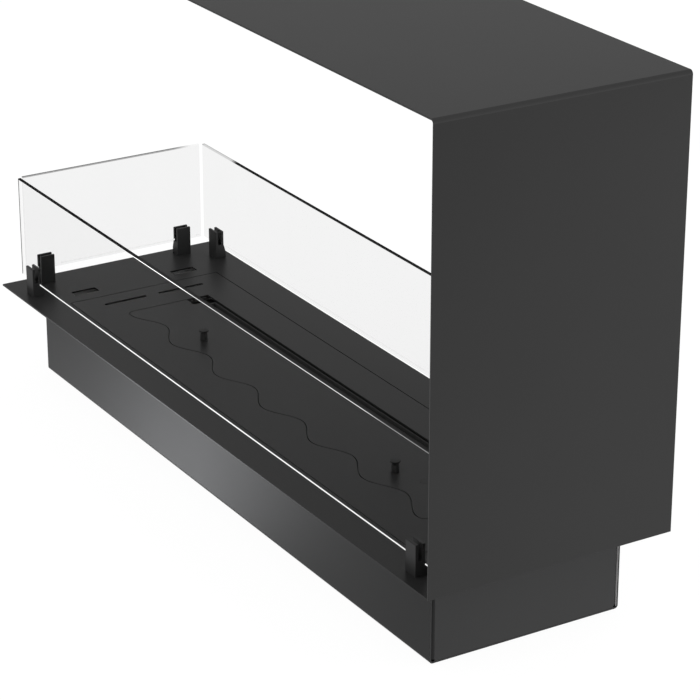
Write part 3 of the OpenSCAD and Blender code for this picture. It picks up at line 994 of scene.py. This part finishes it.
@dataclass
class Pane(Assembly):
    """Loose glass pane with polished edges."""

    node: str
    cover: float
    # glow is the strength of the painted glow on the strips
    glow: float
    clips: tuple[str, ...]
    outward: Triple
    # edge_deep, edge_pale, edge_cover and edge_clearing set the painted shade on the top edge
    edge_deep: float = 0.006
    edge_pale: float = 0.006
    edge_cover: float = 1.0
    edge_clearing: Clearing | None = None
    # how much the painted light and shade change along the upper strip
    painted_zones: float = 0.0
    # at the left end a dark strip and a wider strip of stronger cover are painted shade
    dark_corner: bool = False
    end_shade_cover: float = 0.066
    arris: float = 0.4 * MM
    lip: float = 0.9 * MM
    top_strip: float = 0.95 * MM
    bottom_gap: float = 0.5 * MM
    bottom_strip: float = 1.85 * MM
    # the lower painted glow stops this far beyond each clip, where the clip shades the pane
    clip_shade: float = 12.0 * MM
    corner_strip: float = 2.2 * MM
    corner_shade: float = 6.0 * MM
    sharp_over: float = 20.0
    facing_over: float = 0.99  # a face looks straight outwards by more than this
    leaning_over: float = 0.3  # an arris leans outwards or up by more than this

    def build(self) -> None:
        """Makes the pane with its clear body, the painted shade on its top edge and its strips of painted glow."""
        low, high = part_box(self.node)
        along = Vector((1, 0, 0)) if high.x - low.x > high.y - low.y else Vector((0, 1, 0))
        boxes = [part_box(f"glass_clip_{clip}") for clip in self.clips]
        grips = [(start, end + along * self.clip_shade) for start, end in boxes]
        bm = block(low, high)
        bmesh.ops.bevel(
            bm, geom=bm.edges[:], offset=self.arris, offset_type="OFFSET", affect="EDGES",
            segments=1, profile=0.5, material=-1, clamp_overlap=True,
        )
        for z in self.levels(low.z, high.z):
            cut_along(bm, Vector((0, 0, z)), Vector((0, 0, 1)))
        if self.dark_corner:
            for strip in (self.corner_strip, self.corner_shade):
                cut_along(bm, Vector((low.x + strip, 0, 0)), Vector((1, 0, 0)))
        for grip in grips:
            for corner in grip:
                cut_along(bm, corner, along)
        bm.normal_update()
        for face in bm.faces:
            face.material_index = self.part_of(face, low, high, grips)
        obj = new_object(f"{self.node}_pane", bm, self.sharp_over)
        obj.visible_glossy = False
        self.hand_in(obj, "glass", [self.node], *self.finishes())

    def finishes(self) -> list[Finish]:
        """Finishes of the pane.

        Returns:
            The finishes in the order of PanePart.
        """
        made: list[Finish] = [
            ClearPane(f"{self.node}_clear", self.cover),
            PaintedShadeEdge(f"{self.node}_painted_shade_edge", self.edge_deep, self.edge_pale, self.edge_cover, self.edge_clearing),
            PaintedGlowStrip(f"{self.node}_painted_glow_strip", self.glow, self.painted_zones),
        ]
        if self.dark_corner:
            # painted shade at the left end, from the clear pane's material with a stronger cover
            made.append(ClearPane(f"{self.node}_painted_end_shade", self.end_shade_cover))
        return made

    def levels(self, bottom: float, top: float) -> tuple[float, float, float, float]:
        """Heights that bound the strips of painted glow.

        Args:
            bottom: Height of the pane's bottom edge.
            top: Height of its top edge.

        Returns:
            Both ends of the lower strip, then both ends of the upper one.
        """
        lower = bottom + self.arris + self.bottom_gap
        upper = top - self.arris - self.lip
        return lower, lower + self.bottom_strip, upper - self.top_strip, upper

    def part_of(
        self, face: BMFace, low: Vector, high: Vector, grips: list[tuple[Vector, Vector]],
    ) -> PanePart:
        """Part of the pane that a face belongs to.

        Args:
            face: Face of the pane.
            low: Lowest corner of the pane.
            high: Highest corner of the pane.
            grips: Boxes that the clips take and shade.

        Returns:
            The part.
        """
        middle = face.calc_center_median()
        z0, z1, z2, z3 = self.levels(low.z, high.z)
        outwards = face.normal.dot(Vector(self.outward))
        # the top edge and the strip at the outer left corner get the painted shade
        if face.normal.z > self.leaning_over or middle.z > z3:
            return PanePart.PAINTED_SHADE
        if self.dark_corner and outwards > self.leaning_over and middle.x < low.x + self.corner_strip:
            return PanePart.PAINTED_SHADE
        held = any(a.x < middle.x < b.x and a.y < middle.y < b.y for a, b in grips)
        # the strips of painted glow, left off where a clip holds or shades the pane
        if outwards > self.facing_over and (z2 < middle.z < z3 or z0 < middle.z < z1 and not held):
            return PanePart.PAINTED_GLOW
        # the wider strip at the left end gets painted shade
        end_shaded = self.dark_corner and middle.x < low.x + self.corner_shade
        return PanePart.PAINTED_END_SHADE if end_shaded else PanePart.CLEAR


@dataclass
class Burner(Assembly):
    """Burner cover, shutter bed and the tank that hangs below them."""

    body: str = "burner"
    edge: float = 0.25 * MM
    mouth_edge: float = 0.2 * MM
    rivet_r: float = 1.6 * MM
    rivet_head_r: float = 3.25 * MM
    rivet_head_h: float = 1.1 * MM
    dome_angles: tuple[float, ...] = (0.0, 0.35, 0.7, 1.05, 1.25)
    pin_share: float = 0.28
    pin_rise: float = 0.8
    facets: int = 40
    sheet_t: float = 1.5 * MM
    fibre_inset: float = 0.5 * MM
    fibre_step: float = 6.0 * MM
    fibre_softness: float = 0.35
    fibre_sharp_over: float = 60.0
    lump_h: float = 0.4 * MM
    lumps_per_m: float = 160.0
    seed: int = 7

    def build(self) -> None:
        """Makes the cover, the bed, the tank and what fills it."""
        self.sheet("burner_cover", "cover_coated", "casing", CASING_COAT, self.edge)
        self.sheet("shutter_bed", "bed_steel", "stainless", MOUTH_STEEL, self.mouth_edge)
        self.sheet("burner_tank", "tank_steel", "stainless", TANK_STEEL, self.edge)
        self.sheet("tank_deck", "deck_steel", "stainless", MOUTH_STEEL, self.mouth_edge)
        for side in ("left", "right"):
            self.sheet(f"tank_hanger_{side}", f"hanger_{side}_steel", "stainless", CROSS_STEEL, self.edge)
        self.hand_in(new_object("tank_rivets_set", self.rivets()), "fastener", ["tank_rivets"], SCREW_STEEL)
        for place in ("left", "middle", "right"):
            node = f"ceramic_block_{place}"
            obj = new_object(f"fibre_block_{place}", self.fibre(node), self.fibre_sharp_over)
            self.hand_in(obj, "absorber", [node], FIBRE)

    def rivets(self) -> BMesh:
        """Blind rivets with domed heads inside and outside the tank's ends.

        Returns:
            All four rivets.
        """
        r, head, rise, t = self.rivet_r, self.rivet_head_r, self.rivet_head_h, self.sheet_t
        dome = [(head * math.cos(a), rise * math.sin(a)) for a in self.dome_angles]
        outer = [(x, t + z) for x, z in dome]
        inner = [(x, -t - z) for x, z in reversed(dome)]
        pin, pin_z = self.pin_share * head, t + rise * self.pin_rise
        profile = [(0.0, -pin_z), (pin, -pin_z), *inner, (r, -t), (r, t), *outer, (pin, pin_z), (0.0, pin_z)]
        unit = lathe(profile, self.facets)
        low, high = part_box("tank_rivets")
        middle_x = (low.x + high.x) / 2
        half = (high.x - low.x) / 2 - t - rise
        z = (low.z + high.z) / 2
        spots = []
        for side in (-1, 1):
            turn = Matrix.Rotation(side * math.pi / 2, 4, "Y")
            for y in (low.y + head, high.y - head):
                spots.append(Matrix.Translation((middle_x + side * half, y, z)) @ turn)
        return scattered(unit, spots)

    def fibre(self, node: str) -> BMesh:
        """Ceramic fibre block with softened edges and an uneven skin.

        Args:
            node: Frame part that gives its place and size.

        Returns:
            The block.
        """
        low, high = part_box(node)
        inset = Vector((1, 1, 1)) * self.fibre_inset
        bm = block(low + inset, high - inset)
        size = high - low
        for axis in range(3):
            cuts = max(int(size[axis] / self.fibre_step), 1)
            for i in range(1, cuts):
                normal = Vector((0, 0, 0))
                normal[axis] = 1
                at = Vector(low)
                at[axis] += size[axis] * i / cuts
                cut_along(bm, at, normal)
        bmesh.ops.smooth_vert(
            bm, verts=bm.verts, factor=self.fibre_softness, use_axis_x=True, use_axis_y=True, use_axis_z=True,
        )
        bm.normal_update()
        for vert in bm.verts:
            lump = noise.noise(vert.co * self.lumps_per_m + Vector((self.seed, 0, 0)))
            vert.co += vert.normal * self.lump_h * lump
        return bm


@dataclass
class Shutter(Assembly):
    """Sliding plate with its knobs, screws, guides and stop pin."""

    body: str = "shutter"
    edge: float = 0.25 * MM
    turned_edge: float = 0.15 * MM
    pin_edge: float = 0.2 * MM
    stem_r: float = 4.5 * MM
    stem_foot: float = 0.2 * MM
    stem_facing_under: float = 0.3  # a face of the stem rises less than this
    cap_r: float = 6.0 * MM
    cap_t: float = 1.5 * MM
    lip_share: float = 0.25
    knob_h: float = 13.5 * MM
    bore_r: float = 2.05 * MM
    bore_h: float = 8.1 * MM
    bore_tip: float = 1.0 * MM
    waist: float = 0.5 * MM
    waist_profile: tuple[tuple[float, float], ...] = (
        (0.55, 0.0), (0.62, 0.5), (0.72, 1.0), (0.85, 1.0), (0.93, 0.6), (1.0, 0.0),
    )
    lip_angles: tuple[float, ...] = (0.0, 0.5, 1.05, math.pi / 2)
    crown_shares: tuple[float, ...] = (0.8, 0.5, 0.0)
    knob_facets: int = 72
    screw_r: float = 2.0 * MM
    screw_socket_r: float = 1.3 * MM
    screw_head_r: float = 3.8 * MM
    screw_head_h: float = 2.4 * MM
    screw_rounding: tuple[tuple[float, float], ...] = ((0.6 * MM, 0.0), (0.15 * MM, 0.3 * MM), (0.0, 0.8 * MM))
    screw_facets: int = 48
    plate_top: float = 103.0 * MM

    def build(self) -> None:
        """Makes the plate, the turned knobs and all that guides them."""
        self.sheet("shutter_plate", "shutter_coated", "casing", CASING_COAT, self.edge)
        for side in ("left", "right"):
            node = f"shutter_knob_{side}"
            bm = scattered(self.knob(), [Matrix.Translation(self.middle(node, self.plate_top))])
            for face in bm.faces:
                face.material_index = int(face.normal.z < self.stem_facing_under)
            self.hand_in(new_object(f"knob_{side}_turned", bm), "knob", [node], KNOB_COAT, STEM_BLACK)
        self.hand_in(new_object("knob_screws_turned", self.screws()), "fastener", ["knob_screws"], SCREW_STEEL)
        self.sheet("knob_washers", "washers_turned", "fastener", SCREW_STEEL, self.turned_edge)
        self.sheet("slide_bushes", "bushes_turned", "bush", BUSH_BRASS, self.turned_edge)
        self.sheet("stop_pin", "stop_pin_coated", "casing", CASING_COAT, self.pin_edge)

    def middle(self, node: str, z: float) -> Vector:
        """Middle of a frame part in plan, at a given height.

        Args:
            node: Name of the part.
            z: Height in metres.

        Returns:
            The point.
        """
        low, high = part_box(node)
        return Vector(((low.x + high.x) / 2, (low.y + high.y) / 2, z))

    def knob(self) -> BMesh:
        """Knob with a waisted stem, a thin rounded cap and its bore.

        Returns:
            The knob, standing on the origin.
        """
        r, cap, top = self.stem_r, self.cap_r, self.knob_h
        under = top - self.cap_t
        lip = self.cap_t * self.lip_share
        bore = [(0.0, self.bore_h + self.bore_tip), (self.bore_r, self.bore_h), (self.bore_r, 0.0)]
        foot = [(r - self.stem_foot, 0.0), (r, self.stem_foot)]
        stem = [(r - self.waist * deep, under * up) for up, deep in self.waist_profile]
        round_lip = [(cap - lip + lip * math.sin(a), under + lip - lip * math.cos(a)) for a in self.lip_angles]
        round_top = [(cap - lip + lip * math.cos(a), top - lip + lip * math.sin(a)) for a in self.lip_angles]
        crown = [(cap * share, top) for share in self.crown_shares]
        return lathe([*bore, *foot, *stem, *round_lip, *round_top, *crown], self.knob_facets)

    def screws(self) -> BMesh:
        """Pan-head screws that hold the knobs from below.

        Returns:
            Both screws.
        """
        low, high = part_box("knob_screws")
        rounding = [(self.screw_head_r - inset, z) for inset, z in self.screw_rounding]
        head = [*rounding, (self.screw_head_r, self.screw_head_h)]
        body = shank(self.screw_r, self.screw_head_h, high.z - low.z)
        unit = lathe([*socket(self.screw_socket_r), *head, *body], self.screw_facets)
        spots = [Matrix.Translation(self.middle(f"shutter_knob_{side}", low.z)) for side in ("left", "right")]
        return scattered(unit, spots)


# ----------------------------------------------------------------------- studio


@dataclass(frozen=True)
class SoftLamp:
    """Rectangular soft lamp aimed at a point of the insert."""

    name: str
    to: Triple
    along: Triple
    distance: float
    size: tuple[float, float]
    radiance: float
    colour: Triple = (1.0, 1.0, 1.0)
    roll: float = 0.0

    def build(self) -> None:
        """Hangs the lamp, which the camera itself doesn't see."""
        data = bpy.data.lights.new(self.name, "AREA")
        data.shape = "RECTANGLE"
        data.size, data.size_y = self.size
        data.energy = self.radiance * math.pi * self.size[0] * self.size[1]
        data.color = self.colour
        obj = bpy.data.objects.new(self.name, data)
        to = Vector(self.to)
        at = to + Vector(self.along).normalized() * self.distance
        aim = (to - at).to_track_quat("-Z", "Y").to_matrix().to_4x4()
        obj.matrix_world = Matrix.Translation(at) @ aim @ Matrix.Rotation(math.radians(self.roll), 4, "Z")
        obj.visible_camera = False
        bpy.context.scene.collection.objects.link(obj)
        log.info("%s: %.1f W at %.2f %.2f %.2f m", self.name, data.energy, *at)


@dataclass
class Studio:
    """Pale floor, even room light, soft lamps and the camera."""

    floor_size: float = 40.0
    floor_drop: float = 0.5 * MM
    room_light: float = 1.0
    lens: float = 145.08
    sensor: float = 36.0
    clip: tuple[float, float] = (0.05, 200.0)
    # the camera's place and its three axes, solved on the edges in the photograph
    eye: Triple = (2.580269, -1.500051, 1.410305)
    right: Triple = (0.51799724, 0.85538229, 0.0)
    up: Triple = (-0.33076552, 0.20030299, 0.92221087)
    back: Triple = (0.78884284, -0.47770269, 0.38668736)
    lamps: tuple[SoftLamp, ...] = (
        SoftLamp(
            "front_strip_lamp", (-0.227, -0.119, -0.02), (-0.789, -0.478, -0.387), 2.0, (0.2, 0.6), 9.7,
            colour=(0.955, 0.97, 1.0), roll=-18.0,
        ),
        SoftLamp("end_soft_lamp", (0.5, 0.35, 0.15), (0.789, 0.478, -0.387), 2.0, (1.2, 1.5), 4.1),
        SoftLamp("rear_low_lamp", (0.5, 0.15, 0.34), (0.5, 0.6, -0.05), 0.9, (0.5, 0.5), 2.4),
    )

    def build(self) -> None:
        """Makes the floor, the lights and the camera."""
        self.floor()
        self.lights()
        self.camera()
        view = bpy.context.scene.view_settings
        view.view_transform = "Standard"
        view.look = "None"
        view.exposure = 0.0
        view.gamma = 1.0

    def floor(self) -> None:
        """Lays the pale floor, which lets the low lamps through."""
        bm = bmesh.new()
        bmesh.ops.create_grid(bm, x_segments=1, y_segments=1, size=self.floor_size / 2)
        bmesh.ops.translate(bm, vec=(0, 0, -self.floor_drop), verts=bm.verts)
        obj = new_object("studio_floor", bm)
        obj.data.materials.append(FLOOR_WHITE.material())
        obj.visible_diffuse = False
        obj.visible_glossy = False
        obj.visible_shadow = False
        log.info("studio floor: %.0f m square", self.floor_size)

    def lights(self) -> None:
        """Sets the even room light and the soft lamps."""
        world = bpy.data.worlds.new("studio_room")
        world.use_nodes = True
        background = world.node_tree.nodes["Background"]
        background.inputs["Color"].default_value = grey(1.0)
        background.inputs["Strength"].default_value = self.room_light
        bpy.context.scene.world = world
        for lamp in self.lamps:
            lamp.build()

    def camera(self) -> None:
        """Sets the camera at the photograph's viewing angle."""
        data = bpy.data.cameras.new("photo_camera")
        data.lens, data.sensor_width = self.lens, self.sensor
        data.clip_start, data.clip_end = self.clip
        obj = bpy.data.objects.new("photo_camera", data)
        turn = Matrix((self.right, self.up, self.back)).transposed().to_4x4()
        obj.matrix_world = Matrix.Translation(self.eye) @ turn
        bpy.context.scene.collection.objects.link(obj)
        bpy.context.scene.camera = obj
        log.info("camera: %.2f mm lens", self.lens)


def panes() -> list[Pane]:
    """The three panes with the painted shade and painted glow of their edges.

    Returns:
        The front, back and left pane.
    """
    return [
        Pane(
            "pane_front", "glass_front", 0.016, 0.8, ("front_left", "front_right"), (0, -1, 0),
            edge_pale=0.04, painted_zones=1.0, dark_corner=True,
        ),
        Pane(
            "pane_back", "glass_back", 0.066, 0.87, ("back_left", "back_right"), (0, 1, 0),
            edge_clearing=Clearing("X", -0.385, -0.405, 0.68),
        ),
        Pane(
            "pane_left", "glass_left", 0.066, 0.87, ("left_front", "left_back"), (-1, 0, 0),
            edge_cover=0.58, edge_clearing=Clearing("Y", 0.085, 0.115, 0.9),
        ),
    ]


def main() -> None:
    """Builds the studio and the sub-assemblies in order."""
    logging.basicConfig(level=logging.INFO, format="%(message)s", stream=sys.stdout)
    Studio().build()
    for part in (Casing(), Housing(), GlassClips(), *panes(), Burner(), Shutter()):
        part.build()
        log.info("%s is done", type(part).__name__)


if __name__ == "__main__":
    main()
